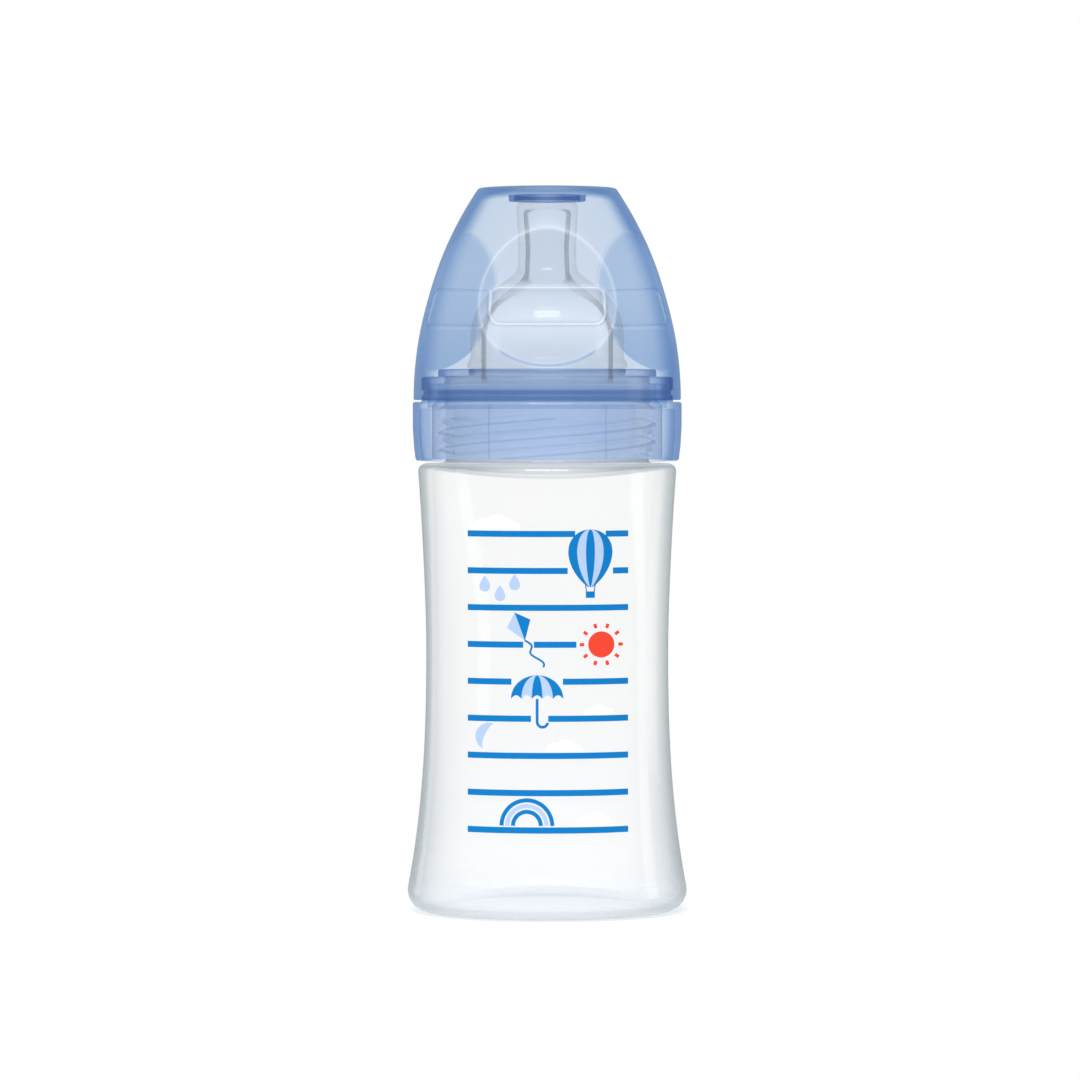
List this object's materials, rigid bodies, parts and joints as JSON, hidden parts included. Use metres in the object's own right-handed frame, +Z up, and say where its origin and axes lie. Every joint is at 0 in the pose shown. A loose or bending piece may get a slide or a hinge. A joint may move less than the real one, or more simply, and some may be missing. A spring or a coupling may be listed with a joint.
{
  "type": "baby bottle",
  "caption": "Clear waisted feeding bottle with a wide screw neck, a silicone teat clamped by a screw ring, and a pull-off translucent cap with thumb scoops.",
  "frame": {"origin": "middle of the foot, on the surface that the bottle stands on", "axes": "+Z up along the bottle's axis, -Y towards the printed front, +X to the right seen from the front"},
  "size_m": [0.0698, 0.0695, 0.18],
  "materials": {
    "clear_plastic": "clear, slightly hazy moulded polypropylene",
    "clear_silicone": "clear soft silicone",
    "pale_blue_plastic": "glossy translucent pale blue polypropylene",
    "translucent_blue_plastic": "glossy clear blue polypropylene"
  },
  "bodies": {
    "bottle": {"bottle_body": "clear_plastic"},
    "teat": {"teat": "clear_silicone"},
    "ring": {"screw_ring": "pale_blue_plastic"},
    "cap": {"protective_cap": "translucent_blue_plastic"}
  },
  "joints": [
    {"name": "ring_lift", "type": "slide", "parent": "bottle", "child": "teat", "axis": [0, 0, 1], "range_m": [0, 0.01]},
    {"name": "ring_turn", "type": "hinge", "parent": "teat", "child": "ring", "pos_m": [0, 0, 0.12], "axis": [0, 0, 1], "range_deg": [0, 270]},
    {"name": "cap_pull", "type": "slide", "parent": "ring", "child": "cap", "axis": [0, 0, 1], "range_m": [0, 0.062]}
  ],
  "couplings": [
    {"joint": "ring_lift", "follows": "ring_turn", "m_per_rad": 0.0021008}
  ]
}
